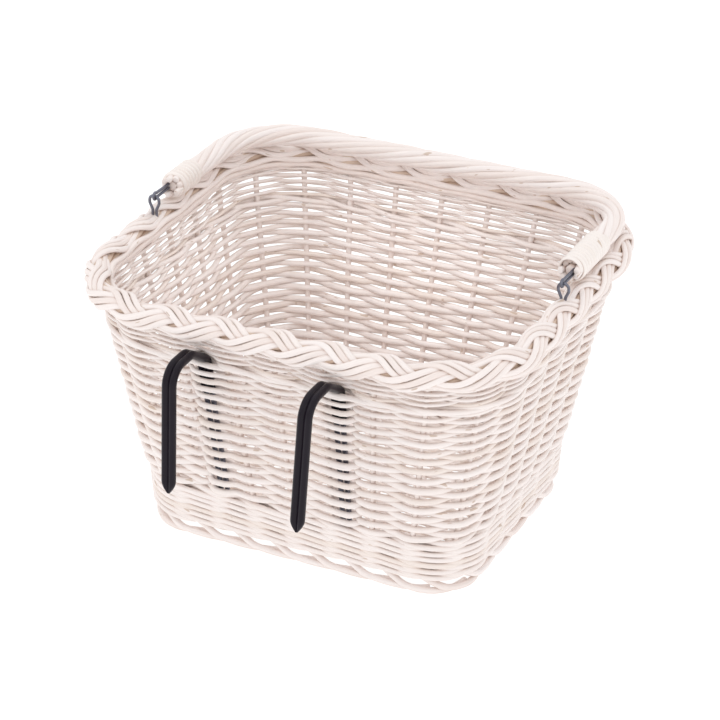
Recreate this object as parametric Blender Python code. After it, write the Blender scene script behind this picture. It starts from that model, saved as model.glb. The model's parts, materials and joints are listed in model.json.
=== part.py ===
"""Wicker handlebar basket: a woven willow tub with a swing-over handle and two sleeved hook brackets.

Metres, +Z up, hook wall towards -Y, long side along X.
The origin is the centre of the base panel's underside; the foot border hangs below it.
"""

import math
from collections import namedtuple

import bpy
from mathutils import Vector

for leftover in list(bpy.data.objects):
    bpy.data.objects.remove(leftover, do_unlink=True)

# ---------------------------------------------------------------- driving sizes
GAP = 0.0003                # clearance between two pieces that are not one piece

# Mid-surface of the wall: outline at a few heights, straight in between.
Level = namedtuple("Level", "z half_x half_y corner offset_y")
LEVELS = (
    Level(z=-0.0145, half_x=0.1415, half_y=0.1120, corner=0.0385, offset_y=-0.008),
    Level(z=0.033, half_x=0.1450, half_y=0.1165, corner=0.0430, offset_y=-0.007),
    Level(z=0.044, half_x=0.1500, half_y=0.1220, corner=0.0470, offset_y=-0.006),
    Level(z=0.194, half_x=0.1800, half_y=0.1580, corner=0.0740, offset_y=0.000),
    Level(z=0.222, half_x=0.1856, half_y=0.1647, corner=0.0790, offset_y=0.000),
)
UP = Vector((0.0, 0.0, 1.0))
ALONG_X = Vector((1.0, 0.0, 0.0))

FOOT_BOTTOM = -0.0145       # what the basket stands on
FOOT_TOP = -0.0040          # open below the waling, apart from the stakes
FOOT_HALF_WIDTH = 0.0065
FOOT_CHAMFER = 0.003
BASE_THICK = 0.007
BASE_CHAMFER = 0.003        # keeps the underside clear of the foot border
WALING_TOP = 0.034          # heavy three-rod weave at the bottom
WALING_THICK = 0.013
WEAVE_THICK = 0.011
WALE_BOTTOM = 0.170         # one thick row under the border
WALE_TOP = 0.176
WALE_THICK = 0.012

BORDER_Z = 0.207            # plaited border: centre height, radial offset and half sizes
BORDER_SHIFT = 0.0034
BORDER_HALF_WIDTH = 0.013
BORDER_HALF_HEIGHT = 0.014
BORDER_TOP = BORDER_Z + BORDER_HALF_HEIGHT

STAKE_COUNT = 28
STAKE_RADIUS = 0.0024
STAKE_BOTTOM = -0.009
STAKE_TOP = 0.203

PIVOT_Y = -0.016            # hinge line of the handle, along X
PIVOT_Z = 0.233
ROPE_RADIUS = 0.0095
ROPE_END_RADIUS = 0.0078
ROPE_END_REACH = 0.019      # how far from the hinge line the rope starts
BINDING_START = 0.022
BINDING_ENDS = {"left": 0.060, "right": 0.084}
BINDING_RADIUS = 0.0115
HANDLE_HALF_X = 0.180
HANDLE_REACH = 0.167
HANDLE_CORNER = 0.062
HANDLE_REST_CLEARANCE = 0.0006
SOCKET_DEPTH = 0.024        # slot in each rope end for the eye wire

LOOP_X = 0.184              # steel loop standing in the border, one each side
LOOP_HALF_WIDTH = 0.0045
LOOP_WIRE_RADIUS = 0.00125
LOOP_BOTTOM = 0.2045
EYE_X = 0.183
EYE_WIRE_RADIUS = 0.0012
EYE_RADIUS = 0.0028         # centre line of the eye round the loop's top bar
EYE_LEG_HALF_GAP = 0.0017   # half the distance between the two legs inside the rope
EYE_LEG_END = 0.041

# Hooks: the inner leg stands between the stakes, in the middle of the wall's thickness.
Hook = namedtuple("Hook", "side x lean tip_z")
HOOKS = (
    Hook(side="left", x=-0.0630, lean=0.0, tip_z=0.0850),
    Hook(side="right", x=0.0555, lean=0.05, tip_z=0.0795),
)
HOOK_ROD_RADIUS = 0.0021
HOOK_ROD_HALF_PITCH = 0.0030
HOOK_BOTTOM_Z = 0.040
HOOK_SHOULDER_Z = 0.1755    # where the inner leg bends out of the wall
HOOK_RISE = 0.62            # slope of the span between the wall and the top
HOOK_TOP_Z = 0.1908         # centre line of the flat top that lies on the handlebar
HOOK_OUTER_Y = -0.2095
HOOK_TIP_Y = -0.2168
HOOK_BENDS = (0.009, 0.012, 0.016)
SLEEVE_HALF_WIDTH = 0.0061
SLEEVE_HALF_THICK = 0.0034
SLEEVE_TIP_LENGTH = 0.008
SLEEVE_INNER_END_Z = 0.143

WILLOW = (0.84, 0.77, 0.71, 1.0)
WILLOW_WARM = (0.80, 0.70, 0.60, 1.0)
BLACK_PLASTIC = (0.025, 0.024, 0.028, 1.0)
GALVANISED = (0.50, 0.51, 0.53, 1.0)


# ---------------------------------------------------------------- materials and meshes
def material(name, colour, rough, metallic=0.0):
    mat = bpy.data.materials.new(name + "_material")
    mat.use_nodes = True
    shader = mat.node_tree.nodes["Principled BSDF"]
    shader.inputs["Base Color"].default_value = colour
    shader.inputs["Roughness"].default_value = rough
    shader.inputs["Metallic"].default_value = metallic
    return mat


def willow(name):
    return material(name, WILLOW, 0.6)


def steel(name):
    return material(name, GALVANISED, 0.35, 1.0)


def signed_volume(points, faces):
    total = 0.0
    for face in faces:
        first = points[face[0]]
        for j in range(1, len(face) - 1):
            total += first.dot(points[face[j]].cross(points[face[j + 1]]))
    return total / 6.0


def add_body(name, points, faces, mat):
    """One closed mesh object whose faces point outwards."""
    if signed_volume(points, faces) < 0.0:
        faces = [tuple(reversed(face)) for face in faces]
    mesh = bpy.data.meshes.new(name)
    mesh.from_pydata([tuple(p) for p in points], [], faces)
    mesh.update()
    obj = bpy.data.objects.new(name, mesh)
    bpy.context.scene.collection.objects.link(obj)
    if mat is not None:
        mesh.materials.append(mat)
    return obj


def loft(name, rings, mat, loop=False):
    """Skin a row of equal rings. A loop joins the last ring to the first, otherwise both ends are capped."""
    size = len(rings[0])
    points = [Vector(p) for ring in rings for p in ring]
    faces = []
    last = len(rings) if loop else len(rings) - 1
    for i in range(last):
        a = i * size
        b = ((i + 1) % len(rings)) * size
        for j in range(size):
            k = (j + 1) % size
            faces.append((a + j, a + k, b + k, b + j))
    if not loop:
        faces.append(tuple(reversed(range(size))))
        end = (len(rings) - 1) * size
        faces.append(tuple(range(end, end + size)))
    return add_body(name, points, faces, mat)


def cut(obj, cutter):
    """Take the cutter away from the object and drop the cutter."""
    cutter.hide_render = True
    cutter.display_type = "WIRE"
    step = obj.modifiers.new("cut", "BOOLEAN")
    step.operation = "DIFFERENCE"
    step.solver = "EXACT"
    step.object = cutter
    graph = bpy.context.evaluated_depsgraph_get()
    result = bpy.data.meshes.new_from_object(obj.evaluated_get(graph))
    obj.modifiers.clear()
    obj.data = result
    bpy.data.objects.remove(cutter, do_unlink=True)


def merge_meshes(name, objects):
    """One helper object that holds several separate closed meshes, for use as a cutter."""
    points = []
    faces = []
    for obj in objects:
        start = len(points)
        points.extend(v.co.copy() for v in obj.data.vertices)
        faces.extend(tuple(start + i for i in poly.vertices) for poly in obj.data.polygons)
        bpy.data.objects.remove(obj, do_unlink=True)
    return add_body(name, points, faces, None)


# ---------------------------------------------------------------- outline of the tub
def level_at(z):
    """Outline of the wall's mid-surface at height z."""
    low, high = LEVELS[0], LEVELS[1]
    for first, second in zip(LEVELS, LEVELS[1:]):
        if z >= first.z:
            low, high = first, second
    t = (z - low.z) / (high.z - low.z)
    return Level(*(a + (b - a) * t for a, b in zip(low, high)))


def outline_point(level, s):
    """Point and outward normal at fraction s of a rounded rectangle, from mid front, anticlockwise."""
    long_side = level.half_x - level.corner
    short_side = level.half_y - level.corner
    arc = 0.5 * math.pi * level.corner
    total = 4.0 * (long_side + short_side + arc)
    d = (s % 1.0) * total
    # Straight runs as start point and direction; each is followed by a corner arc.
    runs = (
        (0.0, -level.half_y, 0.0, long_side),
        (level.half_x, -short_side, 90.0, 2.0 * short_side),
        (long_side, level.half_y, 180.0, 2.0 * long_side),
        (-level.half_x, short_side, 270.0, 2.0 * short_side),
        (-long_side, -level.half_y, 0.0, long_side),
    )
    for x, y, heading, length in runs:
        angle = math.radians(heading)
        ahead = Vector((math.cos(angle), math.sin(angle), 0.0))
        outward = Vector((ahead.y, -ahead.x, 0.0))
        start = Vector((x, y, 0.0))
        if d <= length:
            point = start + ahead * d
            break
        d -= length
        if d <= arc:
            centre = start + ahead * length - outward * level.corner
            turn = angle + d / level.corner
            outward = Vector((math.sin(turn), -math.cos(turn), 0.0))
            point = centre + outward * level.corner
            break
        d -= arc
    point.y += level.offset_y
    return point, outward


def wall_point(s, z, out=0.0, outline_z=None):
    """Point at fraction s and height z, moved outwards from the wall's mid-surface."""
    level = level_at(z if outline_z is None else outline_z)
    point, outward = outline_point(level, s)
    return point + outward * out + UP * z


def gap_is_curved(k):
    """Whether the gap after stake k touches a rounded corner at any height."""
    for level in LEVELS:
        first = outline_point(level, k / STAKE_COUNT)[1]
        second = outline_point(level, (k + 1) / STAKE_COUNT)[1]
        if first.dot(second) < 0.9999:
            return True
    return False


def station_fractions():
    """Where the sections stand: one at each stake, and two more in every gap that touches a corner."""
    fractions = []
    for k in range(STAKE_COUNT):
        parts = 3 if gap_is_curved(k) else 1
        fractions.extend((k + j / parts) / STAKE_COUNT for j in range(parts))
    return fractions


def ring_body(name, section, mat, outline_z=None):
    """Closed ring that follows the wall; the section is a list of (outward, height) pairs."""
    rings = []
    for s in station_fractions():
        rings.append([wall_point(s, z, out, outline_z) for out, z in section])
    return loft(name, rings, mat, loop=True)


def shell_section(bottom, top, thick, heights):
    """Section of a band of wall of constant thickness, with extra rings at the given heights."""
    levels = [bottom] + [z for z in heights if bottom < z < top] + [top]
    outer = [(0.5 * thick, z) for z in levels]
    inner = [(-0.5 * thick, z) for z in reversed(levels)]
    return outer + inner


def ellipse_section(centre_out, centre_z, half_width, half_height, count):
    section = []
    for i in range(count):
        turn = 2.0 * math.pi * (i + 0.5) / count
        section.append((centre_out + half_width * math.cos(turn), centre_z + half_height * math.sin(turn)))
    return section


# ---------------------------------------------------------------- swept bodies
def fillet_path(corners, radii, steps=6):
    """Corner points with an arc of the given radius at each inner corner."""
    path = [Vector(corners[0])]
    for i in range(1, len(corners) - 1):
        here = Vector(corners[i])
        back = (Vector(corners[i - 1]) - here).normalized()
        ahead = (Vector(corners[i + 1]) - here).normalized()
        half = 0.5 * back.angle(ahead)
        centre = here + (back + ahead).normalized() * (radii[i - 1] / math.sin(half))
        first = (here + back * (radii[i - 1] / math.tan(half)) - centre).normalized()
        second = (here + ahead * (radii[i - 1] / math.tan(half)) - centre).normalized()
        for j in range(steps + 1):
            path.append(centre + first.slerp(second, j / steps) * radii[i - 1])
    path.append(Vector(corners[-1]))
    return path


def frames_along(path, side=None):
    """Two section axes at every path point: a fixed side axis, or axes carried along without twist."""
    frames = []
    carried = None
    for i, point in enumerate(path):
        before = path[max(i - 1, 0)]
        after = path[min(i + 1, len(path) - 1)]
        incoming = (point - before).normalized() if i > 0 else (after - point).normalized()
        outgoing = (after - point).normalized() if i < len(path) - 1 else incoming
        tangent = (incoming + outgoing).normalized()
        if side is not None:
            first = side
        elif carried is None:
            first = tangent.orthogonal().normalized()
        else:
            first = (carried - tangent * carried.dot(tangent)).normalized()
        carried = first
        frames.append((first, tangent.cross(first).normalized()))
    return frames


def swept_rings(path, section, side=None):
    rings = []
    for point, (first, second) in zip(path, frames_along(path, side)):
        rings.append([point + first * u + second * v for u, v in section])
    return rings


def circle(radius, count):
    turns = [2.0 * math.pi * (i + 0.5) / count for i in range(count)]
    return [(radius * math.cos(t), radius * math.sin(t)) for t in turns]


def stadium(half_width, half_thick, count=4):
    """Oblong section with round short ends, wide along its first axis."""
    points = []
    for sign in (1.0, -1.0):
        for i in range(count + 1):
            turn = -0.5 * math.pi + math.pi * i / count
            u = half_width - half_thick + half_thick * math.cos(turn)
            points.append((sign * u, sign * half_thick * math.sin(turn)))
    return points


def tube(name, path, radius, sides, mat):
    return loft(name, swept_rings(path, circle(radius, sides)), mat)


def hollow_tube(name, start, end, inner_radius, outer_radius, sides, mat):
    path = [start, end]
    inner = swept_rings(path, circle(inner_radius, sides))
    outer = swept_rings(path, circle(outer_radius, sides))
    return loft(name, [inner[0], outer[0], outer[1], inner[1]], mat, loop=True)


def box(name, centre, axes, half_sizes):
    """Box with its own axes, used as a cutter."""
    rings = []
    for along in (-1.0, 1.0):
        ring = []
        for u, v in ((-1, -1), (1, -1), (1, 1), (-1, 1)):
            ring.append(
                centre
                + axes[0] * (u * half_sizes[0])
                + axes[1] * (v * half_sizes[1])
                + axes[2] * (along * half_sizes[2])
            )
        rings.append(ring)
    return loft(name, rings, None)


# ---------------------------------------------------------------- the woven tub
def stake_path(s, bottom=STAKE_BOTTOM, top=STAKE_TOP):
    bends = [level.z for level in LEVELS[1:-1]]
    heights = [bottom] + bends + [top]
    return [wall_point(s, z) for z in heights]


def stake_channels():
    """All stake channels in one cutter, slightly longer than the stakes at both ends."""
    channels = []
    for k in range(STAKE_COUNT):
        path = stake_path(k / STAKE_COUNT, STAKE_BOTTOM - GAP, STAKE_TOP + GAP)
        channels.append(tube("channel", path, STAKE_RADIUS + GAP, 8, None))
    return merge_meshes("stake_channels", channels)


def build_foot_border():
    chamfer = FOOT_CHAMFER
    half = FOOT_HALF_WIDTH
    section = [
        (half - chamfer, FOOT_BOTTOM),
        (half, FOOT_BOTTOM + chamfer),
        (half, FOOT_TOP - chamfer),
        (half - chamfer, FOOT_TOP),
        (chamfer - half, FOOT_TOP),
        (-half, FOOT_TOP - chamfer),
        (-half, FOOT_BOTTOM + chamfer),
        (chamfer - half, FOOT_BOTTOM),
    ]
    return ring_body("foot_border", section, willow("foot_border"))


def build_base_panel():
    edge = -0.5 * WALING_THICK - GAP
    rings = []
    for z, out in ((0.0, edge - BASE_CHAMFER), (BASE_CHAMFER, edge), (BASE_THICK, edge)):
        rings.append([wall_point(s, z, out, 0.0) for s in station_fractions()])
    return loft("base_panel", rings, material("base_panel", WILLOW_WARM, 0.65))


def build_wall_bands():
    bends = [level.z for level in LEVELS]
    border_bottom = BORDER_Z - BORDER_HALF_HEIGHT
    bands = (
        ("bottom_waling", 0.0, WALING_TOP - GAP, WALING_THICK),
        ("side_weave_lower", WALING_TOP, WALE_BOTTOM - GAP, WEAVE_THICK),
        ("upper_wale", WALE_BOTTOM, WALE_TOP - GAP, WALE_THICK),
        ("side_weave_upper", WALE_TOP, border_bottom - GAP, WEAVE_THICK),
    )
    made = []
    for name, bottom, top, thick in bands:
        section = shell_section(bottom, top, thick, bends)
        made.append(ring_body(name, section, willow(name)))
    return made


def build_border():
    section = ellipse_section(BORDER_SHIFT, BORDER_Z, BORDER_HALF_WIDTH, BORDER_HALF_HEIGHT, 12)
    return ring_body("plait_border", section, willow("plait_border"), outline_z=BORDER_Z)


def build_stakes():
    for k in range(STAKE_COUNT):
        name = f"stake_{k + 1:02d}"
        tube(name, stake_path(k / STAKE_COUNT), STAKE_RADIUS, 8, willow(name))


# ---------------------------------------------------------------- hook brackets
def hook_corners(tip_z):
    """Corner points of an upright hook's centre line at x = 0, from the inner end to the outer tip."""
    shoulder = wall_point(0.0, HOOK_SHOULDER_Z)
    crest_y = shoulder.y - (HOOK_TOP_Z - HOOK_SHOULDER_Z) / HOOK_RISE
    return (
        wall_point(0.0, HOOK_BOTTOM_Z),
        shoulder,
        Vector((0.0, crest_y, HOOK_TOP_Z)),
        Vector((0.0, HOOK_OUTER_Y, HOOK_TOP_Z)),
        Vector((0.0, HOOK_TIP_Y, tip_z)),
    )


def hook_path(hook, shift_x=0.0, inner_end_z=HOOK_BOTTOM_Z, tip_cut=0.0):
    """Centre line of one hook, optionally starting higher on the inner leg or stopping short of the tip."""
    corners = list(hook_corners(hook.tip_z))
    leg = corners[1] - corners[0]
    corners[0] = corners[0] + leg * ((inner_end_z - corners[0].z) / leg.z)
    outer = (corners[-1] - corners[-2]).normalized()
    corners[-1] = corners[-1] - outer * tip_cut
    path = fillet_path(corners, HOOK_BENDS, steps=5)
    return [p + ALONG_X * (hook.x + shift_x - hook.lean * (HOOK_TOP_Z - p.z)) for p in path]


def build_hook_wire(hook):
    """Hairpin of one rod: down the inside, over the top and round the outer tip."""
    tip_room = SLEEVE_TIP_LENGTH + HOOK_ROD_HALF_PITCH + HOOK_ROD_RADIUS
    first = hook_path(hook, shift_x=-HOOK_ROD_HALF_PITCH, tip_cut=tip_room)
    second = hook_path(hook, shift_x=HOOK_ROD_HALF_PITCH, tip_cut=tip_room)
    ahead = (first[-1] - first[-2]).normalized()
    centre = 0.5 * (first[-1] + second[-1])
    bend = []
    for i in range(1, 8):
        turn = math.pi * i / 8
        bend.append(
            centre
            - ALONG_X * (HOOK_ROD_HALF_PITCH * math.cos(turn))
            + ahead * (HOOK_ROD_HALF_PITCH * math.sin(turn))
        )
    path = first + bend + list(reversed(second))
    name = "hook_wire_" + hook.side
    return tube(name, path, HOOK_ROD_RADIUS, 8, steel(name))


def rod_pair_section():
    """Oblong with room for the hook's two rods side by side."""
    return stadium(HOOK_ROD_HALF_PITCH + HOOK_ROD_RADIUS + GAP, HOOK_ROD_RADIUS + GAP)


def build_hook_sleeve(hook):
    """Plastic sheath with a pointed closed tip, open at its inner end."""
    body_path = hook_path(hook, inner_end_z=SLEEVE_INNER_END_Z, tip_cut=SLEEVE_TIP_LENGTH)
    hollow_path = hook_path(hook, inner_end_z=SLEEVE_INNER_END_Z, tip_cut=SLEEVE_TIP_LENGTH - 2.0 * GAP)
    outer = swept_rings(body_path, stadium(SLEEVE_HALF_WIDTH, SLEEVE_HALF_THICK), ALONG_X)
    inner = swept_rings(hollow_path, rod_pair_section(), ALONG_X)
    last = outer[-1]
    centre = sum(last, Vector()) / len(last)
    tip = hook_path(hook)[-1]
    point_ring = [tip + (p - centre) * 0.35 for p in last]
    name = "hook_sleeve_" + hook.side
    rings = list(reversed(inner)) + outer + [point_ring]
    return loft(name, rings, material(name, BLACK_PLASTIC, 0.4))


def sleeve_slots():
    """Openings in the weave that the two sleeves pass through."""
    section = stadium(SLEEVE_HALF_WIDTH + GAP, SLEEVE_HALF_THICK + GAP)
    slots = []
    for hook in HOOKS:
        path = hook_path(hook, inner_end_z=SLEEVE_INNER_END_Z - GAP)
        slots.append(loft("slot", swept_rings(path, section, ALONG_X), None))
    return merge_meshes("sleeve_slots", slots)


def bare_leg_slots():
    """Openings in the weave for the bare rods below the two sleeves."""
    slots = []
    for hook in HOOKS:
        bottom = hook_path(hook, inner_end_z=HOOK_BOTTOM_Z - GAP)[0]
        top = hook_path(hook, inner_end_z=SLEEVE_INNER_END_Z + GAP)[0]
        slots.append(loft("slot", swept_rings([bottom, top], rod_pair_section(), ALONG_X), None))
    return merge_meshes("bare_leg_slots", slots)


# ---------------------------------------------------------------- handle and its hardware
def handle_tilt():
    """Downward angle of the handle when its cross bar lies on the back border."""
    drop = PIVOT_Z - (BORDER_TOP + ROPE_RADIUS + HANDLE_REST_CLEARANCE)
    return math.asin(drop / HANDLE_REACH)


def handle_axes():
    tilt = handle_tilt()
    reach = Vector((0.0, math.cos(tilt), -math.sin(tilt)))
    normal = Vector((0.0, math.sin(tilt), math.cos(tilt)))
    return reach, normal


def handle_point(x, reach_distance, height=0.0):
    reach, normal = handle_axes()
    return Vector((x, PIVOT_Y, PIVOT_Z)) + reach * reach_distance + normal * height


def thinned_end(ring, x):
    """Two more sections that step in from the rope's full radius and run out to its end face."""
    centre = handle_point(x, BINDING_START - GAP)
    shift = handle_point(x, ROPE_END_REACH) - centre
    step = [centre + (p - centre) * (ROPE_END_RADIUS / ROPE_RADIUS) for p in ring]
    return [step, [p + shift for p in step]]


def build_rope():
    """Twisted willow bow: two arms, round corners and a cross bar, thinner at its two ends."""
    corners = (
        handle_point(-HANDLE_HALF_X, BINDING_START - GAP),
        handle_point(-HANDLE_HALF_X, HANDLE_REACH),
        handle_point(HANDLE_HALF_X, HANDLE_REACH),
        handle_point(HANDLE_HALF_X, BINDING_START - GAP),
    )
    path = fillet_path(corners, (HANDLE_CORNER, HANDLE_CORNER), steps=8)
    reach, normal = handle_axes()
    rings = swept_rings(path, circle(ROPE_RADIUS, 14), normal)
    first_end = thinned_end(rings[0], -HANDLE_HALF_X)
    last_end = thinned_end(rings[-1], HANDLE_HALF_X)
    rings = list(reversed(first_end)) + rings + last_end
    rope = loft("handle_rope", rings, willow("handle_rope"))
    slots = []
    for x in (-EYE_X, EYE_X):
        half_height = EYE_LEG_HALF_GAP + EYE_WIRE_RADIUS + GAP
        half_sizes = (EYE_WIRE_RADIUS + GAP, half_height, SOCKET_DEPTH)
        slots.append(box("slot", handle_point(x, ROPE_END_REACH), (ALONG_X, normal, reach), half_sizes))
    cut(rope, merge_meshes("rope_slots", slots))
    return rope


def build_binding(side_name, sign):
    name = "handle_binding_" + side_name
    start = handle_point(sign * HANDLE_HALF_X, BINDING_START)
    end = handle_point(sign * HANDLE_HALF_X, BINDING_ENDS[side_name])
    return hollow_tube(name, start, end, ROPE_RADIUS + GAP, BINDING_RADIUS, 16, willow(name))


def build_eye(side_name, sign):
    """Wire that runs out of the rope end, round the loop's top bar and back in."""
    x = sign * EYE_X
    path = [
        handle_point(x, EYE_LEG_END, EYE_LEG_HALF_GAP),
        handle_point(x, ROPE_END_REACH - GAP, EYE_LEG_HALF_GAP),
    ]
    steps = 14
    opening = math.radians(45.0)
    for i in range(steps + 1):
        turn = opening + (2.0 * math.pi - 2.0 * opening) * i / steps
        path.append(handle_point(x, EYE_RADIUS * math.cos(turn), EYE_RADIUS * math.sin(turn)))
    path.append(handle_point(x, ROPE_END_REACH - GAP, -EYE_LEG_HALF_GAP))
    path.append(handle_point(x, EYE_LEG_END, -EYE_LEG_HALF_GAP))
    name = "handle_eye_" + side_name
    return tube(name, path, EYE_WIRE_RADIUS, 8, steel(name))


def loop_path(sign):
    x = sign * LOOP_X
    corners = (
        Vector((x - LOOP_HALF_WIDTH, PIVOT_Y, LOOP_BOTTOM)),
        Vector((x - LOOP_HALF_WIDTH, PIVOT_Y, PIVOT_Z)),
        Vector((x + LOOP_HALF_WIDTH, PIVOT_Y, PIVOT_Z)),
        Vector((x + LOOP_HALF_WIDTH, PIVOT_Y, LOOP_BOTTOM)),
    )
    return fillet_path(corners, (0.0025, 0.0025), steps=4)


def build_rim_loop(side_name, sign):
    name = "rim_loop_" + side_name
    return tube(name, loop_path(sign), LOOP_WIRE_RADIUS, 8, steel(name))


def loop_sockets():
    """Blind holes in the border for the legs of both loops."""
    sockets = []
    for sign in (-1.0, 1.0):
        for side in (-1.0, 1.0):
            x = sign * LOOP_X + side * LOOP_HALF_WIDTH
            start = Vector((x, PIVOT_Y, LOOP_BOTTOM - GAP))
            end = Vector((x, PIVOT_Y, PIVOT_Z))
            sockets.append(tube("socket", [start, end], LOOP_WIRE_RADIUS + GAP, 10, None))
    return merge_meshes("loop_sockets", sockets)


def hang_on(pivot, objects):
    """Parent the objects to the pivot and keep them in place."""
    for obj in objects:
        for vertex in obj.data.vertices:
            vertex.co -= pivot.location
        obj.parent = pivot


# ---------------------------------------------------------------- build
foot = build_foot_border()
build_base_panel()
waling, weave_lower, wale, weave_upper = build_wall_bands()
border = build_border()
for band in (foot, waling, weave_lower, wale, weave_upper, border):
    cut(band, stake_channels())
for band in (weave_lower, wale, weave_upper):
    cut(band, sleeve_slots())
cut(weave_lower, bare_leg_slots())
cut(border, loop_sockets())
build_stakes()

for hook_bracket in HOOKS:
    build_hook_wire(hook_bracket)
    build_hook_sleeve(hook_bracket)

moving = [build_rope()]
for loop_side, loop_sign in (("left", -1.0), ("right", 1.0)):
    moving.append(build_binding(loop_side, loop_sign))
    moving.append(build_eye(loop_side, loop_sign))
    build_rim_loop(loop_side, loop_sign)

handle_pivot = bpy.data.objects.new("handle_pivot", None)
handle_pivot.location = (0.0, PIVOT_Y, PIVOT_Z)
bpy.context.scene.collection.objects.link(handle_pivot)
hang_on(handle_pivot, moving)
bpy.context.view_layer.update()
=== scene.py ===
"""Looks of the handlebar basket: every willow rod of the tub, its borders and its handle, and the wire hooks.

Metres, +Z up, hook wall towards -Y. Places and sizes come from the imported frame.
"""

import json
import math

import bpy
import numpy as np
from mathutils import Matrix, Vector


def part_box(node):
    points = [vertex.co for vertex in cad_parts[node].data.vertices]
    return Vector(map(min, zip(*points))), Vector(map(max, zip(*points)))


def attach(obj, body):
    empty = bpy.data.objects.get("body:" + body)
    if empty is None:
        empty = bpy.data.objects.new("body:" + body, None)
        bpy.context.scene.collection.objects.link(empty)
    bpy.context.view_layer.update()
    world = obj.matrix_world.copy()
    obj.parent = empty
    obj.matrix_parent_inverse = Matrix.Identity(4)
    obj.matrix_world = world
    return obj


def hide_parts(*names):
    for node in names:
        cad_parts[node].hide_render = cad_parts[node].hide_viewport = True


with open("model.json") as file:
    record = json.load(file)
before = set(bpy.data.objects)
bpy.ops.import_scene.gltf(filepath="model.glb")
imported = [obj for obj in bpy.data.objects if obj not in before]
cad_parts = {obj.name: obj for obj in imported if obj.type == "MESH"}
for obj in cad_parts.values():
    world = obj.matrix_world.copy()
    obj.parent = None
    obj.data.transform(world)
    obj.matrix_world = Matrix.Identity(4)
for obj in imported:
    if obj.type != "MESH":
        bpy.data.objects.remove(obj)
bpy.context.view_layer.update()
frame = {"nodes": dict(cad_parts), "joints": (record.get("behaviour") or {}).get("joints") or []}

TAU = 2.0 * math.pi
UP = np.array([0.0, 0.0, 1.0])
ALONG_X = np.array([1.0, 0.0, 0.0])

# ---------------------------------------------------------------- sizes, lights and camera
STAKES = sum(name.startswith("stake_") for name in frame["nodes"])
STAKE_RADIUS = 0.0024
STAKE_FOOT = 0.001                     # a stake ends this far inside the waling, where a foot rod takes over
SAMPLES_PER_GAP = 10                   # points of a weaver between two stakes

WEAVE_PITCH = ((0.10, 0.0051), (0.15, 0.0043), (0.175, 0.0030))   # height and row pitch there, finer upwards
WEAVE_FILL = 0.54                      # rod radius as a share of the pitch
WEAVE_SWING = 0.0036                   # how far a weaver passes in front of and behind the stakes
WEAVE_TOP = 0.0075                     # the last rows run this far up inside the border
LEAN_SPAN = 0.01                       # height over which the wall's lean is measured
HOOK_PASS_RUN = 0.011                  # a weaver leaves its wave this far from a hook leg
HOOK_PASS_GAP = 0.0002
HOOK_PASS_START = 0.002                # rows this close below the hook wires already give way to them

WALING_RADIUS = 0.0024
WALING_PITCH = 0.0056
WALING_SWING = 0.0037
WALING_DIP = 0.0014
WALING_LIFT = 0.0006
WALE_RADIUS = 0.0023

PLAIT_PERIODS = 9                      # each strand goes over and under the border this many times
PLAIT_STRANDS = 3
PLAIT_RODS = 3                         # rods side by side in one strand
PLAIT_ROD_RADIUS = 0.0026
PLAIT_ROD_FLATNESS = 0.78
PLAIT_SPACING = 0.0047
PLAIT_RADIUS = 0.0090                  # strand centre from the border's centre line
PLAIT_WEAVE = 0.0024                   # strands rise and sink by this much where they cross
PLAIT_TILT = math.radians(38.0)        # middle of the strand's swing over the border's section
PLAIT_SWING = math.radians(80.0)
PLAIT_SKEW = 0.20                      # steep on the way out and down, long on the way back
PLAIT_BAND = 0.026                     # width of the CAD border
PLAIT_SAMPLES = 40                     # points of a rod per period
LINING_TURNS = (168.0, 200.0, 233.0)   # rods that run along the inner side of the border, in degrees
CORE_RODS = 8
CORE_ROD_RADIUS = 0.0026
CORE_COIL_RADIUS = 0.0060
CORE_TURNS = 6

BASE_STICKS = 11
BASE_STICK_RADIUS = 0.0021
BASE_PITCH = 0.0042
BASE_ROD_RADIUS = 0.0016
BASE_SWING = 0.0019
BASE_INSET = 0.0045                    # the base's outline lies among the inner rods of the waling
BASE_ROD_GAP = 0.001                   # from the outline to a rod's end

FOOT_ROD_RADIUS = 0.0030
FOOT_COIL_RADIUS = 0.0022
FOOT_DROP = 0.0004                     # the twist hangs a little below the middle of the CAD ring
FOOT_GAPS = 2.5                        # how many stake gaps a foot rod runs along the border
FOOT_DESCENT = 0.95                    # the part of a gap in which it comes down from the waling
FOOT_TWIST = 0.30                      # turns per gap
FOOT_FIRST_TURN = math.radians(110.0)
FOOT_START = 0.004                     # a rod starts this far inside the waling
FOOT_TAPER = 0.12

ROPE_RODS = 9
ROPE_ROD_RADIUS = 0.0030
ROPE_ROD_FLATNESS = 0.80
ROPE_COIL_RADIUS = 0.0069
ROPE_TWIST = 0.210                     # length of one full turn
ROPE_CORE_RADIUS = 0.0045
ROPE_STEP = 0.004
HANDLE_CORNER = 0.062
BINDING_PITCH = 0.0047
CANE_RADIUS = 0.0026
CANE_FLATNESS = {"left": 0.80, "right": 0.45}
CANE_SAMPLES = 26                      # points per turn
CANE_TUCK = 0.0012                     # the first and last third of a turn sink in by this much

LOOP_WIRE_RADIUS = 0.00125
LOOP_NECK = 0.0018                     # half width of the loop where it leaves the border
LOOP_SHOULDER = 1.5                    # from the loop's top to where it narrows, in half widths
LOOP_WAIST = 2.8                       # from the loop's top to the neck, in half widths
LOOP_BEND = 0.003
EYE_WIRE_RADIUS = 0.0013
EYE_RADIUS = 0.0028
EYE_OPENING = math.radians(45.0)
EYE_LEG_HALF_GAP = 0.0017
EYE_LEG_END = 0.041

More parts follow.
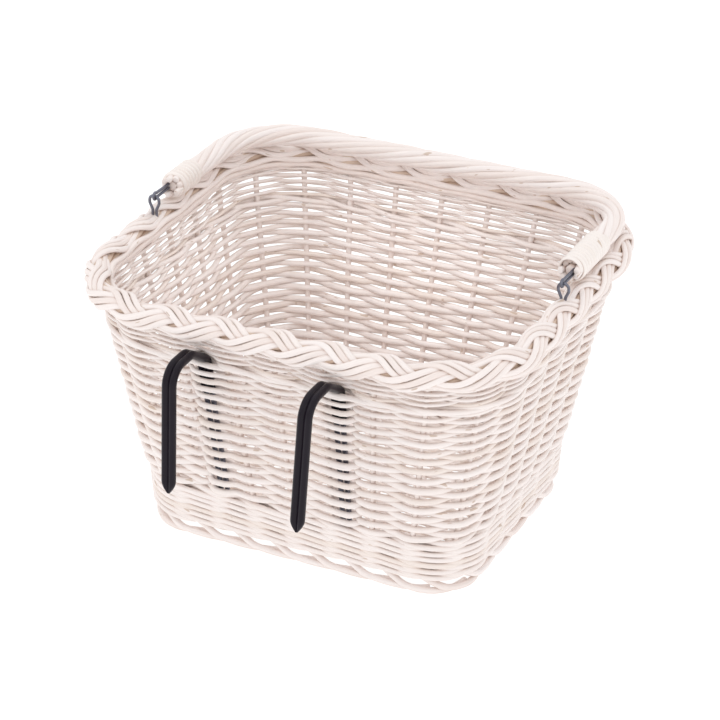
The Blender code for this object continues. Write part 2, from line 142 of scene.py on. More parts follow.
HOOK_ROD_RADIUS = 0.0021
HOOK_ROD_HALF_PITCH = 0.0030
HOOK_SHOULDER_Z = 0.1755               # where the inner leg bends out of the wall
HOOK_RISE = 0.62
HOOK_BENDS = (0.009, 0.012, 0.016)
HOOK_SPLAY = 0.0073                    # how much further out the tip is than the top of the outer leg
SLEEVE_HALF_WIDTH = 0.0061
SLEEVE_HALF_THICK = 0.0034
SLEEVE_INNER_END_Z = 0.143
SLEEVE_TIP = 0.011                     # length over which the sheath narrows to its point
SLEEVE_TIP_WIDE = 0.16                 # shares of the full section left at the point
SLEEVE_TIP_THICK = 0.35
SLEEVE_SEAM = 0.45                     # depth left at the seam between the two lobes
SLEEVE_MOUTH_WIDE = 0.90               # shares of the full section at the open end's inner edge
SLEEVE_MOUTH_THICK = 0.82
SLEEVE_MOUTH_DEPTH = 0.010

LIGHTS = (                             # name, place, width and power in watts
    ("key", (-1.6, -2.2, 2.6), 2.2, 9.0),
    ("fill", (2.4, -1.6, 1.6), 2.4, 3.0),
    ("top", (0.0, 0.4, 3.0), 2.6, 7.0),
    ("inside", (0.0, 0.0, 0.235), 0.20, 0.09),
)
LIGHT_TARGET = (0.0, 0.0, 0.1)
ROOM_LIGHT = 0.96                      # the camera itself sees the room at 1.0, pure white
FLOOR_HALF = 12.0
FLOOR_SHADE = 0.30
FLOOR_GLOW = 0.85                      # the floor is lit through, so that no shadow shows on it
CAMERA_AZIMUTH = 26.0
CAMERA_ELEVATION = 28.3
CAMERA_DISTANCE = 2.491
CAMERA_LENS = 149.8
CAMERA_TARGET = (0.0, 0.0, 0.108)
CAMERA_SHIFT = (-0.0013, 0.0049)       # of the target, to the camera's right and up


# ---------------------------------------------------------------- what the frame says
SECTION_VERTICES = 200                 # a height with more vertices than this is one of a band's sections


def node_points(node):
    mesh = frame["nodes"][node].data
    flat = np.empty(len(mesh.vertices) * 3, np.float32)
    mesh.vertices.foreach_get("co", flat)
    return flat.reshape(-1, 3).astype(float)


def outside(points, half_x, half_y, corner):
    """Signed distance of points in plan from a rounded rectangle round the origin, positive outside."""
    reach = np.abs(points) - (np.array([half_x, half_y]) - corner)
    beyond = np.linalg.norm(np.maximum(reach, 0.0), axis=1)
    within = np.minimum(reach.max(1), 0.0)
    return beyond + within - corner


def ring_row(points, z):
    """(z, half_x, half_y, corner, offset_y) of the middle of a band's thickness at a section height."""
    ring = points[np.abs(points[:, 2] - z) < 5e-5][:, :2]
    low, high = ring.min(0), ring.max(0)
    centre = 0.5 * (low + high)
    half_x, half_y = 0.5 * (high - low)
    # The corner is the largest whose rounded rectangle still holds every point.
    ring = ring - centre
    corners = [c for c in np.arange(0.02, half_y, 0.0001) if outside(ring, half_x, half_y, c).max() < 2e-5]
    half_thick = -0.5 * outside(ring, half_x, half_y, corners[-1]).min()
    return (z, half_x - half_thick, half_y - half_thick, corners[-1] - half_thick, centre[1])


def wall_levels():
    """The wall's mid-surface at every section height of the CAD bands."""
    rows = []
    for node in ("bottom_waling", "side_weave_lower", "side_weave_upper"):
        points = node_points(node)
        heights, counts = np.unique(np.round(points[:, 2], 4), return_counts=True)
        rows += [ring_row(points, z) for z in heights[counts > SECTION_VERTICES]]
    return np.array(sorted(rows))


def middle(node):
    low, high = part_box(node)
    return np.array(0.5 * (low + high))


WALL = wall_levels()
PIVOT = np.array(frame["joints"][0]["pos_m"], float)
HOOK_WIRES_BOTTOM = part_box("hook_wire_left")[0].z


def level_at(z):
    """half_x, half_y, corner and offset_y of the wall's mid-surface at heights z."""
    z = np.asarray(z, float)
    i = np.clip(np.searchsorted(WALL[:, 0], z) - 1, 0, len(WALL) - 2)
    low, high = WALL[i], WALL[i + 1]
    t = (z - low[..., 0]) / (high[..., 0] - low[..., 0])
    row = low + (high - low) * t[..., None]
    return row[..., 1], row[..., 2], row[..., 3], row[..., 4]


def wall_points(s, z, out=0.0, outline_z=None):
    """Points at fractions s (from mid front, anticlockwise) and heights z, and the outward normals there."""
    s, z, out = np.broadcast_arrays(np.asarray(s, float), z, out)
    half_x, half_y, corner, offset = level_at(z if outline_z is None else np.full(s.shape, outline_z))
    long_side = half_x - corner
    short_side = half_y - corner
    arc = 0.5 * math.pi * corner
    left = (s % 1.0) * 4.0 * (long_side + short_side + arc)
    x = np.zeros_like(left)
    y = -half_y
    heading = np.zeros_like(left)
    for run in (long_side, 2.0 * short_side, 2.0 * long_side, 2.0 * short_side, long_side):
        step = np.clip(left, 0.0, run)
        x = x + step * np.cos(heading)
        y = y + step * np.sin(heading)
        left = left - run
        turn = np.clip(left, 0.0, arc) / corner
        x = x + corner * (np.sin(heading + turn) - np.sin(heading))
        y = y + corner * (np.cos(heading) - np.cos(heading + turn))
        heading = heading + turn
        left = left - arc
    normal = np.stack([np.sin(heading), -np.cos(heading), np.zeros_like(heading)], -1)
    points = np.stack([x, y + offset, z], -1) + normal * out[..., None]
    return points, normal


def wall_length(z):
    half_x, half_y, corner, _ = level_at(z)
    return 4.0 * (half_x + half_y - 2.0 * corner) + TAU * corner


# ---------------------------------------------------------------- rods
RNG = np.random.default_rng(28)
END_SHAPE = ((0.0, 0.78), (0.07, 0.94), (0.28, 1.0))   # distance from a rod's end and width there, in radii


def wander(t, amount, slowest=2, fastest=9):
    """Smooth seeded variation along t from 0 to 1, which meets itself at the ends."""
    total = np.zeros_like(t)
    for _ in range(3):
        turns = RNG.integers(slowest, fastest)
        total += np.sin(TAU * (turns * t + RNG.random()))
    return total * (amount / 3.0)


def unit(v):
    return v / np.linalg.norm(v, axis=-1, keepdims=True)


def tangents(path, closed):
    if closed:
        return unit(np.roll(path, -1, 0) - np.roll(path, 1, 0))
    return unit(np.gradient(path, axis=0))


class Rods:
    """Collects rods with round or flattened sections and makes one mesh object of them."""

    def __init__(self, sides=8):
        self.sides = sides
        self.points = []
        self.quads = []
        self.quad_grain = []
        self.caps = []
        self.cap_grain = []
        self.tints = []
        self.count = 0

    def add(self, path, radius, reference, closed=False, flatness=1.0, tint=None):
        """A rod along the path; its section's first axis lies towards the reference direction."""
        path = np.asarray(path, float)
        radius = np.broadcast_to(np.asarray(radius, float), len(path))
        ahead = tangents(path, closed)
        side = np.broadcast_to(reference, path.shape)
        side = unit(side - ahead * np.sum(side * ahead, 1, keepdims=True))
        if not closed:
            path, radius, ahead, side = self.shape_ends(path, radius, ahead, side)
        other = np.cross(ahead, side)
        turn = TAU * np.arange(self.sides) / self.sides
        local = np.stack([np.cos(turn) * flatness, np.sin(turn)], -1)
        ring = side[:, None] * local[None, :, :1] + other[:, None] * local[None, :, 1:]
        self.points.append((path[:, None] + ring * radius[:, None, None]).reshape(-1, 3))

        steps = np.linalg.norm(np.diff(path, axis=0, append=path[:1]), axis=1)
        along = np.concatenate([[0.0], np.cumsum(steps)]) + RNG.random() * 5.0
        rings = len(path)
        last = rings if closed else rings - 1
        i, j = np.meshgrid(np.arange(last), np.arange(self.sides), indexing="ij")
        i, j = i.ravel(), j.ravel()
        corners = ((i, j), (i, j + 1), (i + 1, j + 1), (i + 1, j))
        quads = [(a % rings) * self.sides + b % self.sides for a, b in corners]
        self.quads.append(np.stack(quads, 1) + self.count)
        grain = [self.grain(along[a], b, radius[a % rings]) for a, b in corners]
        self.quad_grain.append(np.stack(grain, 1).reshape(-1, 3))
        if not closed:
            for end, order in ((0, -1), (rings - 1, 1)):
                spokes = np.arange(self.sides)[::order]
                self.caps.append((spokes + end * self.sides + self.count).tolist())
                self.cap_grain.append(self.grain(np.full(self.sides, along[end]), spokes, radius[end]))
        if tint is None:
            tint = RNG.random()
        self.tints.append(np.full(rings * self.sides, tint))
        self.count += rings * self.sides

    def grain(self, along, spoke, radius):
        """Place on the straightened rod, which the materials use for streaks along it."""
        turn = TAU * spoke / self.sides
        return np.stack([along, radius * np.cos(turn), radius * np.sin(turn)], -1)

    @staticmethod
    def shape_ends(path, radius, ahead, side):
        """Rounds the cut edge at both ends of an open rod."""
        backs, widths = np.array(END_SHAPE).T
        count = len(backs)
        for inward in (1.0, -1.0):
            places = path[0] + ahead[0] * (inward * backs * radius[0])[:, None]
            # Turned round after each pass, so that the second one shapes the other end.
            path = np.concatenate([places, path[1:]])[::-1]
            radius = np.concatenate([widths * radius[0], radius[1:]])[::-1]
            ahead = np.concatenate([np.repeat(ahead[:1], count, 0), ahead[1:]])[::-1]
            side = np.concatenate([np.repeat(side[:1], count, 0), side[1:]])[::-1]
        return path, radius, ahead, side

    def build(self, name, material, body, slot, *nodes):
        """One object of all the rods, which stands for the given CAD nodes."""
        faces = np.concatenate(self.quads).tolist() + self.caps
        grain = np.concatenate(self.quad_grain + self.cap_grain)
        obj = mesh_object(name, np.concatenate(self.points), faces, material)
        mesh = obj.data
        mesh.attributes.new("grain", "FLOAT_VECTOR", "CORNER").data.foreach_set("vector", grain.ravel())
        tints = np.concatenate(self.tints)
        mesh.attributes.new("tint", "FLOAT", "POINT").data.foreach_set("value", tints)
        place(obj, body, slot, *nodes)


def mesh_object(name, points, faces, material):
    mesh = bpy.data.meshes.new(name)
    mesh.from_pydata(points.tolist(), [], faces)
    mesh.update()
    mesh.shade_smooth()
    mesh.set_sharp_from_angle(angle=math.radians(50.0))
    mesh.materials.append(material)
    obj = bpy.data.objects.new(name, mesh)
    bpy.context.scene.collection.objects.link(obj)
    return obj


def place(obj, body, slot, *nodes):
    """Puts a piece on a body in place of the given CAD nodes; the slot argument is not used."""
    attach(obj, body)
    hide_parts(*nodes)


def rounded_path(corners, radii, steps=14):
    """Corner points with an arc at each inner corner."""
    corners = [np.asarray(c, float) for c in corners]
    path = [corners[0]]
    for before, here, after, radius in zip(corners, corners[1:], corners[2:], radii):
        back = unit(before - here)
        ahead = unit(after - here)
        half = 0.5 * math.acos(float(back @ ahead))
        centre = here + unit(back + ahead) * (radius / math.sin(half))
        first = here + back * (radius / math.tan(half)) - centre
        second = here + ahead * (radius / math.tan(half)) - centre
        sweep = math.acos(float(unit(first) @ unit(second)))
        for t in np.linspace(0.0, 1.0, steps + 1):
            share = (math.sin((1.0 - t) * sweep) * first + math.sin(t * sweep) * second) / math.sin(sweep)
            path.append(centre + share)
    path.append(corners[-1])
    return np.array(path)


def resample(path, step):
    """The same line with evenly spaced points."""
    lengths = np.concatenate([[0.0], np.cumsum(np.linalg.norm(np.diff(path, axis=0), axis=1))])
    count = max(2, int(round(lengths[-1] / step)) + 1)
    wanted = np.linspace(0.0, lengths[-1], count)
    return np.stack([np.interp(wanted, lengths, path[:, k]) for k in range(3)], 1)


# ---------------------------------------------------------------- materials
class Graph:
    """Small helper for node materials."""

    def __init__(self, name):
        self.material = bpy.data.materials.new(name)
        self.material.use_nodes = True
        self.tree = self.material.node_tree
        self.shader = self.tree.nodes["Principled BSDF"]

    def node(self, kind, inputs=(), **settings):
        made = self.tree.nodes.new(kind)
        for key, value in settings.items():
            setattr(made, key, value)
        for key, value in dict(inputs).items():
            self.set(made.inputs[key], value)
        return made

    def set(self, socket, value):
        if isinstance(value, bpy.types.NodeSocket):
            self.tree.links.new(value, socket)
        else:
            socket.default_value = value

    def attribute(self, name):
        return self.node("ShaderNodeAttribute", attribute_name=name, attribute_type="GEOMETRY")

    def noise(self, vector, scale, detail=2.0, roughness=0.5):
        inputs = {"Vector": vector, "Scale": scale, "Detail": detail, "Roughness": roughness}
        return self.node("ShaderNodeTexNoise", inputs).outputs["Fac"]

    def scaled(self, vector, scale):
        return self.node("ShaderNodeMapping", {"Vector": vector, "Scale": scale}).outputs["Vector"]

    def ramp(self, value, stops):
        made = self.node("ShaderNodeValToRGB", {"Fac": value})
        elements = made.color_ramp.elements
        while len(elements) < len(stops):
            elements.new(0.5)
        for element, (position, colour) in zip(elements, stops):
            element.position = position
            element.color = (*colour, 1.0) if isinstance(colour, tuple) else (colour, colour, colour, 1.0)
        return made.outputs["Color"]

    def mix(self, fac, a, b, blend="MIX"):
        # Inputs 0, 6 and 7 and output 2 are the node's factor and colour sockets.
        made = self.node("ShaderNodeMix", data_type="RGBA", blend_type=blend)
        self.set(made.inputs[0], fac)
        self.set(made.inputs[6], a)
        self.set(made.inputs[7], b)
        return made.outputs[2]

    def math(self, operation, a, b):
        return self.node("ShaderNodeMath", {0: a, 1: b}, operation=operation).outputs[0]

    def principled(self, **inputs):
        for key, value in inputs.items():
            self.set(self.shader.inputs[key.replace("_", " ")], value)
        return self.material


KNOT_COLOUR = (0.46, 0.30, 0.18, 1.0)
# Warm brown of the painted shade in the creases between rods.
PAINTED_SHADE_COLOUR = (0.60, 0.43, 0.33, 1.0)
PAINTED_SHADE_REACH = 0.007                   # painted shade falls where something else lies closer than this


def willow_material(name, pale, mean, warm, crease_shade=0.45, gloss=0.46):
    """Peeled and lacquered willow: pale rods of differing tones, fine streaks, and painted warm shade in the
    creases.
    """
    g = Graph(name)
    grain = g.attribute("grain").outputs["Vector"]
    tint = g.attribute("tint").outputs["Fac"]
    shade = g.ramp(tint, ((0.0, warm), (0.35, mean), (0.7, pale), (1.0, mean)))
    streaks = g.noise(g.scaled(grain, (45.0, 900.0, 900.0)), 1.0, detail=3.0)
    shade = g.mix(0.55, shade, g.ramp(streaks, ((0.30, 0.90), (0.62, 1.0))), "MULTIPLY")
    blotches = g.noise(g.scaled(grain, (22.0, 60.0, 60.0)), 1.0, detail=2.0)
    shade = g.mix(g.ramp(blotches, ((0.45, 0.0), (0.75, 0.4))), shade, (*warm, 1.0))
    specks = g.noise(g.scaled(grain, (110.0, 330.0, 330.0)), 1.0, detail=0.0)
    knot = g.ramp(specks, ((0.79, 0.0), (0.83, 0.55)))
    shade = g.mix(knot, shade, KNOT_COLOUR)
    # Painted shade: where ambient occlusion finds something within reach, the colour is mixed towards a warm
    # brown.
    hidden = g.node("ShaderNodeAmbientOcclusion", {"Distance": PAINTED_SHADE_REACH}, samples=6)
    shade_amount = g.ramp(hidden.outputs["AO"], ((0.15, crease_shade), (0.85, 0.0)))
    shade = g.mix(shade_amount, shade, PAINTED_SHADE_COLOUR)
    relief = g.math("ADD", g.math("MULTIPLY", streaks, 0.6), g.math("MULTIPLY", blotches, 0.4))
    bump = g.node("ShaderNodeBump", {"Strength": 0.35, "Distance": 0.0003, "Height": relief})
    rough = g.math("ADD", g.math("MULTIPLY", streaks, 0.22), gloss - 0.11)
    return g.principled(
        Base_Color=shade,
        Roughness=rough,
        Normal=bump.outputs["Normal"],
        Specular_IOR_Level=0.45,
    )


def plastic_material():
    """Black dipped sheath: semi-gloss, with a soft unevenness that breaks up the reflections."""
    g = Graph("hook_plastic")
    position = g.node("ShaderNodeTexCoord").outputs["Object"]
    waves = g.noise(position, 70.0, detail=2.0)
    pores = g.noise(position, 1400.0, detail=1.0)
    shade = g.mix(waves, (0.006, 0.003, 0.008, 1.0), (0.012, 0.008, 0.014, 1.0))
    relief = g.math("ADD", g.math("MULTIPLY", waves, 0.8), g.math("MULTIPLY", pores, 0.08))
    bump = g.node("ShaderNodeBump", {"Strength": 0.5, "Distance": 0.0008, "Height": relief})
    rough = g.math("ADD", g.math("MULTIPLY", pores, 0.12), 0.24)
    return g.principled(
        Base_Color=shade,
        Roughness=rough,
        Normal=bump.outputs["Normal"],
        Specular_IOR_Level=0.21,
    )


def steel_material():
    """Galvanised wire: bluish grey, dull where the zinc has bloomed."""
    g = Graph("steel_wire")
    grain = g.attribute("grain").outputs["Vector"]
    bloom = g.noise(g.scaled(grain, (500.0, 700.0, 700.0)), 1.0, detail=3.0)
    drawn = g.noise(g.scaled(grain, (60.0, 4000.0, 4000.0)), 1.0, detail=1.0)
    shade = g.mix(bloom, (0.08, 0.08, 0.11, 1.0), (0.30, 0.31, 0.37, 1.0))
    bump = g.node("ShaderNodeBump", {"Strength": 0.3, "Distance": 0.0002, "Height": drawn})
    rough = g.math("ADD", g.math("MULTIPLY", bloom, 0.30), 0.22)
    return g.principled(
        Base_Color=shade,
        Metallic=0.85,
        Roughness=rough,
        Normal=bump.outputs["Normal"],
    )


PALE = (0.93, 0.86, 0.835)
MEAN = (0.91, 0.83, 0.80)
WEAVE = willow_material("willow_weave", PALE, MEAN, (0.87, 0.77, 0.71), crease_shade=0.25)
RODS = willow_material("willow_rods", (0.93, 0.86, 0.84), MEAN, (0.87, 0.77, 0.73), crease_shade=0.40)
CANE = willow_material("cane_binding", (0.92, 0.855, 0.82), (0.90, 0.83, 0.79), (0.86, 0.765, 0.70),
                       gloss=0.38)
CORE = willow_material("willow_core", (0.70, 0.56, 0.46), (0.66, 0.51, 0.41), (0.60, 0.45, 0.35))
PLASTIC = plastic_material()
STEEL = steel_material()


# ---------------------------------------------------------------- the woven tub
def closed_fractions(rounds=1):
    """Fractions of the way round, for a rod that closes after the given number of rounds."""
    return np.arange(rounds * STAKES * SAMPLES_PER_GAP) / (STAKES * SAMPLES_PER_GAP)


def smooth(t):
    """Smooth step from 0 to 1."""
    t = np.clip(t, 0.0, 1.0)
    return t * t * (3.0 - 2.0 * t)


def hook_x(side, z):
    """Where a hook's inner leg stands along the wall at heights z."""
    wire = node_points("hook_wire_" + side)
    sleeve = node_points("hook_sleeve_" + side)
    low = wire[wire[:, 2] < wire[:, 2].min() + 0.001].mean(0)
    high = sleeve[sleeve[:, 2] > sleeve[:, 2].max() - 0.001].mean(0)
    lean = (high[0] - low[0]) / (high[2] - low[2])
    return low[0] + lean * (z - low[2])


def round_hook_legs(s, z, radius, out, parity):
    """Weavers pass the hooks' inner legs like stakes: outside them in one row, inside them in the next.

    Parity is 1 for a row that passes outside and -1 for one inside; with 0 a rod keeps to its side.
    """
    row_z = float(np.mean(z))
    half_thick = HOOK_ROD_RADIUS
    half_wide = HOOK_ROD_HALF_PITCH + HOOK_ROD_RADIUS
    if row_z > SLEEVE_INNER_END_Z:
        half_thick = SLEEVE_HALF_THICK
        half_wide = SLEEVE_HALF_WIDTH
    room = half_thick + radius + HOOK_PASS_GAP
    # Above the shoulder the sleeve leaves through the weave, and the rows there pass behind it.
    sleeve_back = (row_z - HOOK_SHOULDER_Z) / HOOK_RISE - half_thick * math.hypot(1.0, HOOK_RISE) / HOOK_RISE
    leaving = sleeve_back - radius
    if row_z < HOOK_WIRES_BOTTOM - HOOK_PASS_START or leaving > WEAVE_SWING:
        return out
    middle_line = wall_points(s, z)[0]
    front = middle_line[:, 1] < 0.0
    for side in ("left", "right"):
        away = np.where(front, np.abs(middle_line[:, 0] - hook_x(side, row_z)), np.inf)
        near = smooth((half_wide + HOOK_PASS_RUN - away) / HOOK_PASS_RUN)
        if row_z > HOOK_SHOULDER_Z - 0.5 * half_thick:
            target = np.minimum(out, leaving)
        else:
            side_sign = parity if parity else math.copysign(1.0, out[np.argmin(away)])
            target = side_sign * room
        out = out + (target - out) * near
    return out


def weave_rows(bottom, top):
    """Heights and rod radii of the side weave's rows from one height to another."""
    heights, pitches = zip(*WEAVE_PITCH)
    rows = []
    z = bottom
    while z < top:
        pitch = float(np.interp(z, heights, pitches))
        rows.append((z + 0.5 * pitch, WEAVE_FILL * pitch))
        z += pitch
    # The rows fill the band exactly.
    squeeze = (top - bottom) / (z - bottom)
    return [(bottom + (row_z - bottom) * squeeze, radius * squeeze) for row_z, radius in rows]


def build_side_weave(node, extra_height=0.0):
    """Single weavers, each in front of and behind the stakes in turn, and the next row the other way."""
    low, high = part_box(node)
    lean = float(level_at(high.z)[0] - level_at(high.z - LEAN_SPAN)[0]) / LEAN_SPAN
    rods = Rods()
    s = closed_fractions()
    for i, (z, radius) in enumerate(weave_rows(low.z, high.z + extra_height)):
        height = z + wander(s, 0.0007, 3, 20) + wander(s, 0.0004, 20, 60)
        swing = WEAVE_SWING * (1.0 + wander(s, 0.14, 5, 30))
        out = swing * np.cos(math.pi * STAKES * s + math.pi * i)
        out = round_hook_legs(s, height, radius, out, 1 if i % 2 else -1)
        # The weavers pass the stakes square to the leaning wall.
        points, normal = wall_points(s, height - out * lean, out)
        thick = radius * (1.0 + wander(s, 0.10, 2, 12)) * (1.0 + 0.05 * RNG.standard_normal())
        rods.add(points, thick, normal, closed=True)
    rods.build(node + "_rods", WEAVE, "basket", "willow_weave", node)


def waling_heights():
    """Heights of the rows that fill the bottom waling evenly."""
    low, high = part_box("bottom_waling")
    count = round((high.z - low.z) / WALING_PITCH)
    pitch = (high.z - low.z) / count
    return [low.z + WALING_LIFT + (i + 0.5) * pitch for i in range(count)]


def build_wale(node, rows, radius):
    """Three-rod wale: each rod passes in front of two stakes and behind one, and the three lie as a twist."""
    rods = Rods()
    fractions = closed_fractions(3)
    for z in rows:
        phase = TAU * (STAKES * fractions / 3.0 - 1.0 / 6.0)
        # One wave per three stakes, with a flat top outside two of them and a dip inside the third.
        out = WALING_SWING * (1.0 / 3.0 + 1.1 * np.cos(phase) - 0.2333 * np.cos(2.0 * phase))
        t = fractions / 3.0
        height = z - WALING_DIP * np.sin(phase) + wander(t, 0.0007, 3, 25)
        passes = len(fractions) // 3
        for start in range(0, len(fractions), passes):
            part = slice(start, start + passes)
            out[part] = round_hook_legs(fractions[part], height[part], radius, out[part], 0)
        points, normal = wall_points(fractions, height, out)
        thick = radius * (1.0 + wander(t, 0.12, 4, 30))
        rods.add(points, thick, normal, closed=True)
    rods.build(node + "_rods", WEAVE, "basket", "willow_weave", node)


def build_stakes():
    """The upright rods that everything is woven round."""
    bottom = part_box("bottom_waling")[0].z + STAKE_FOOT
    for node in sorted(name for name in frame["nodes"] if name.startswith("stake_")):
        s = (int(node[-2:]) - 1) / STAKES
        z = np.linspace(bottom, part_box(node)[1].z, 40)
        t = np.linspace(0.0, 1.0, len(z))
        points, normal = wall_points(s, z, wander(t, 0.0003))
        rods = Rods(sides=12)
        rods.add(points, STAKE_RADIUS * (1.0 + wander(t, 0.05)), normal)
        rods.build(node + "_rod", RODS, "basket", "willow_rods", node)


def build_plait_border():
    """Three strands of three rods, plaited over a bundle of core rods along the rim."""
    low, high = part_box("plait_border")
    centre_z = 0.5 * (low.z + high.z)
    shift = high.x - float(level_at(centre_z)[0]) - 0.5 * PLAIT_BAND
    count = PLAIT_PERIODS * PLAIT_SAMPLES
    heights = np.full(count, centre_z)
    s = np.arange(count) / count
    centre, normal = wall_points(s, heights, shift)
    length = float(wall_length(centre_z)) + TAU * shift
    rods = Rods(sides=10)
    for strand in range(PLAIT_STRANDS):
        even = TAU * (PLAIT_PERIODS * s + strand / PLAIT_STRANDS)
        phase = even - PLAIT_SKEW * np.sin(even)
        turn = PLAIT_TILT + PLAIT_SWING * np.sin(phase)
        radius = PLAIT_RADIUS - PLAIT_WEAVE * np.sin(2.0 * phase)
        # The strand's direction on the unrolled border, as (along, round).
        along = np.full(count, length / TAU)
        around = PLAIT_RADIUS * PLAIT_SWING * PLAIT_PERIODS * np.cos(phase)
        around = around * (1.0 - PLAIT_SKEW * np.cos(even))
        size = np.hypot(along, around)
        for rod in range(PLAIT_RODS):
            offset = (rod - 0.5 * (PLAIT_RODS - 1)) * PLAIT_SPACING
            place_s = s - offset * around / size / length
            place_turn = turn + offset * along / size / PLAIT_RADIUS
            base, out = wall_points(place_s, heights, shift)
            radial = out * np.cos(place_turn)[:, None] + UP * np.sin(place_turn)[:, None]
            path = base + radial * (radius + wander(s, 0.0004, 5, 40))[:, None]
            thick = PLAIT_ROD_RADIUS * (1.0 + wander(s, 0.07, 3, 25))
            rods.add(path, thick, radial, closed=True, flatness=PLAIT_ROD_FLATNESS)
    for angle in LINING_TURNS:
        place_turn = math.radians(angle) + wander(s, 0.14, 6, 30)
        radial = normal * np.cos(place_turn)[:, None] + UP * np.sin(place_turn)[:, None]
        path = centre + radial * PLAIT_RADIUS
        rods.add(path, PLAIT_ROD_RADIUS * (1.0 + wander(s, 0.10, 3, 25)), radial, closed=True)
    rods.build("plait_border_rods", RODS, "basket", "willow_rods", "plait_border")
    core = Rods()
    for rod in range(CORE_RODS):
        place_turn = TAU * (CORE_TURNS * s + rod / CORE_RODS)
        radial = normal * np.cos(place_turn)[:, None] + UP * np.sin(place_turn)[:, None]
        core.add(centre + radial * CORE_COIL_RADIUS, CORE_ROD_RADIUS, radial, closed=True)
    core.build("plait_border_core", CORE, "basket", "willow_rods", "plait_border")


def build_foot_border():
    """Every stake's lower end turns along the foot and twists round its neighbours."""
    low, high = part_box("foot_border")
    centre_z = 0.5 * (low.z + high.z) - FOOT_DROP
    start_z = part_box("bottom_waling")[0].z + FOOT_START
    rods = Rods(sides=10)
    for k in range(STAKES):
        run = np.linspace(0.0, 1.0, 70)
        ahead = run * FOOT_GAPS
        turn = FOOT_FIRST_TURN - TAU * FOOT_TWIST * ahead
        join = smooth(ahead / FOOT_DESCENT)
        out = FOOT_COIL_RADIUS * np.cos(turn) * join
        z = start_z + (centre_z + FOOT_COIL_RADIUS * np.sin(turn) - start_z) * join
        points, normal = wall_points((k + ahead) / STAKES, z, out, outline_z=centre_z)
        thick = FOOT_ROD_RADIUS * (1.0 - FOOT_TAPER * run) * (1.0 + wander(run, 0.04))
        rods.add(points, thick, normal)
    rods.build("foot_border_rods", RODS, "basket", "willow_weave", "foot_border")


def half_span(v, half_v, half_w, corner):
    """Half length of a rounded rectangle across at distance v from its middle."""
    into = max(0.0, abs(v) - (half_v - corner))
    return half_w - corner + math.sqrt(max(corner * corner - into * into, 0.0))


def build_base():
    """Woven panel: weavers along X over and under sticks along Y, cut to the outline inside the waling."""
    low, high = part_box("base_panel")
    middle_z = 0.5 * (low.z + high.z)
    half_x, half_y, corner, offset = [float(v) for v in level_at(middle_z)]
    half_x, half_y, corner = half_x - BASE_INSET, half_y - BASE_INSET, corner - BASE_INSET
    rods = Rods()
    spacing = 2.0 * half_x / BASE_STICKS
    for i in range(BASE_STICKS):
        x = (i - 0.5 * (BASE_STICKS - 1)) * spacing
        reach = half_span(x, half_x, half_y, corner) - BASE_ROD_GAP
        y = offset + np.linspace(-reach, reach, 30)
        rods.add(np.stack([np.full_like(y, x), y, np.full_like(y, middle_z)], 1), BASE_STICK_RADIUS, UP)
    rows = int(2.0 * half_y / BASE_PITCH)
    for i in range(rows):
        v = (i - 0.5 * (rows - 1)) * BASE_PITCH
        reach = half_span(v, half_y, half_x, corner) - BASE_ROD_GAP
        x = np.linspace(-reach, reach, int(2.0 * reach / spacing * 9))
        t = (x + reach) / (2.0 * reach)
        z = middle_z + BASE_SWING * np.cos(math.pi * (x / spacing + i)) + wander(t, 0.0001)
        y = offset + v + wander(t, 0.0004)
        rods.add(np.stack([x, y, z], 1), BASE_ROD_RADIUS * (1.0 + wander(t, 0.08)), UP)
    rods.build("base_panel_rods", WEAVE, "basket", "willow_weave", "base_panel")


# ---------------------------------------------------------------- handle
def handle_frame():
    """Arm distance from the middle, reach of the cross bar, and directions along and square to the bow."""
    arm_x = middle("handle_binding_right")[0]
    low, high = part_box("handle_rope")
    radius = high.x - arm_x
    bar = np.array([0.0, high.y - radius, low.z + radius])
    ahead = unit(bar - PIVOT)
    normal = np.array([0.0, -ahead[2], ahead[1]])
    return arm_x, float(np.linalg.norm(bar - PIVOT)), ahead, normal


ARM_X, BOW_REACH, BOW_AHEAD, BOW_NORMAL = handle_frame()


def bow_point(x, reach, height=0.0):
    return PIVOT + ALONG_X * x + BOW_AHEAD * reach + BOW_NORMAL * height


def reach_at(y):
    """Distance from the hinge line along the bow at which it reaches the given y."""
    return (y - PIVOT[1]) / BOW_AHEAD[1]


def bow_path(start):
    places = ((-ARM_X, start), (-ARM_X, BOW_REACH), (ARM_X, BOW_REACH), (ARM_X, start))
    corners = [bow_point(x, reach) for x, reach in places]
    return resample(rounded_path(corners, (HANDLE_CORNER, HANDLE_CORNER), 24), ROPE_STEP)


def build_rope():
    """Nine rods laid round a core, with slightly uneven ends."""
    path = bow_path(reach_at(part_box("handle_rope")[0].y))
    across = np.cross(tangents(path, False), BOW_NORMAL)
    length = np.concatenate([[0.0], np.cumsum(np.linalg.norm(np.diff(path, axis=0), axis=1))])
    t = length / length[-1]
    rods = Rods(sides=10)
    for k in range(ROPE_RODS):
        turn = TAU * (k / ROPE_RODS - length / ROPE_TWIST) + wander(t, 0.10)
        radial = BOW_NORMAL * np.cos(turn)[:, None] + across * np.sin(turn)[:, None]
        line = path + radial * (ROPE_COIL_RADIUS + wander(t, 0.0006))[:, None]
        first, last = RNG.integers(0, 3, 2)
        keep = slice(int(first), len(line) - int(last))
        thick = ROPE_ROD_RADIUS * (1.0 + wander(t, 0.07))
        rods.add(line[keep], thick[keep], radial[keep], flatness=ROPE_ROD_FLATNESS)
    rods.add(path[1:-1], ROPE_CORE_RADIUS, BOW_NORMAL, tint=0.0)
    rods.build("handle_rope_rods", RODS, "handle", "willow_rods", "handle_rope")


